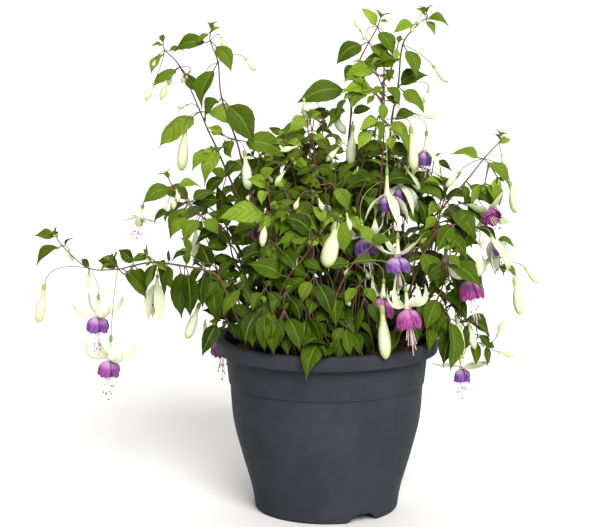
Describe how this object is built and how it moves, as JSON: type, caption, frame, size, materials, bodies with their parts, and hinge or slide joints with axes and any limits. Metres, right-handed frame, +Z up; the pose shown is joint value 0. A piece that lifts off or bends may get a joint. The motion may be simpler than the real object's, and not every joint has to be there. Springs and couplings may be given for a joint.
{
  "type": "potted trailing fuchsia",
  "caption": "Trailing fuchsia with arching leafy stems, hanging two-tone blooms and buds, growing in a round plastic pot with a broad rim and a banded wall.",
  "frame": {"origin": "middle of the pot's base, on the surface it stands on", "axes": "+Z up, -Y towards the side the picture shows, +X to the right of that view"},
  "size_m": [0.602, 0.3839, 0.607],
  "materials": {
    "pot": "dark slate-grey moulded plastic with a fine grain and a soft sheen",
    "soil": "dark brown crumbly potting compost of bark and peat",
    "foliage": "green leaves with a satin surface on stems that turn from brown at the foot to dark red",
    "sepals": "waxy creamy white with pale green tips",
    "corolla_violet": "soft violet-blue petals of young blooms",
    "corolla_magenta": "soft magenta-purple petals of older blooms"
  },
  "bodies": {
    "root": {"pot": "pot", "soil": "soil", "shoot_left_tall_rear": "foliage", "shoot_left_tall_front": "foliage", "shoot_right_tall_rear": "foliage", "shoot_right_tall_main": "foliage", "shoot_right_tall_side": "foliage", "shoot_right_arm_upper": "foliage", "shoot_right_arm_lower": "foliage", "shoot_right_low": "foliage", "shoot_right_drop": "foliage", "shoot_left_trailer": "foliage", "shoot_left_arm": "foliage", "shoot_centre_left": "foliage", "shoot_front_left": "foliage", "shoot_front_middle": "foliage", "shoot_rear_1": "foliage", "shoot_rear_2": "foliage", "shoot_rear_3": "foliage", "shoot_rear_4": "foliage", "shoot_rear_5": "foliage", "bloom_01_calyx": "sepals", "bloom_02_calyx": "sepals", "bloom_03_calyx": "sepals", "bloom_04_calyx": "sepals", "bloom_05_calyx": "sepals", "bloom_06_calyx": "sepals", "bloom_07_calyx": "sepals", "bloom_08_calyx": "sepals", "bloom_09_calyx": "sepals", "bloom_10_calyx": "sepals", "bloom_11_calyx": "sepals", "bloom_12_calyx": "sepals", "bloom_13_calyx": "sepals", "bloom_14_calyx": "sepals", "bloom_15_calyx": "sepals", "bloom_16_calyx": "sepals", "bloom_17_calyx": "sepals", "bloom_01_corolla": "corolla_violet", "bloom_02_corolla": "corolla_violet", "bloom_03_corolla": "corolla_violet", "bloom_04_corolla": "corolla_violet", "bloom_05_corolla": "corolla_magenta", "bloom_06_corolla": "corolla_violet", "bloom_07_corolla": "corolla_magenta", "bloom_08_corolla": "corolla_violet", "bloom_09_corolla": "corolla_violet", "bloom_10_corolla": "corolla_violet", "bloom_11_corolla": "corolla_violet", "bloom_12_corolla": "corolla_violet", "bloom_13_corolla": "corolla_magenta", "bloom_14_corolla": "corolla_magenta", "bloom_15_corolla": "corolla_violet", "bloom_16_corolla": "corolla_magenta", "bloom_17_corolla": "corolla_magenta"}
  },
  "joints": []
}
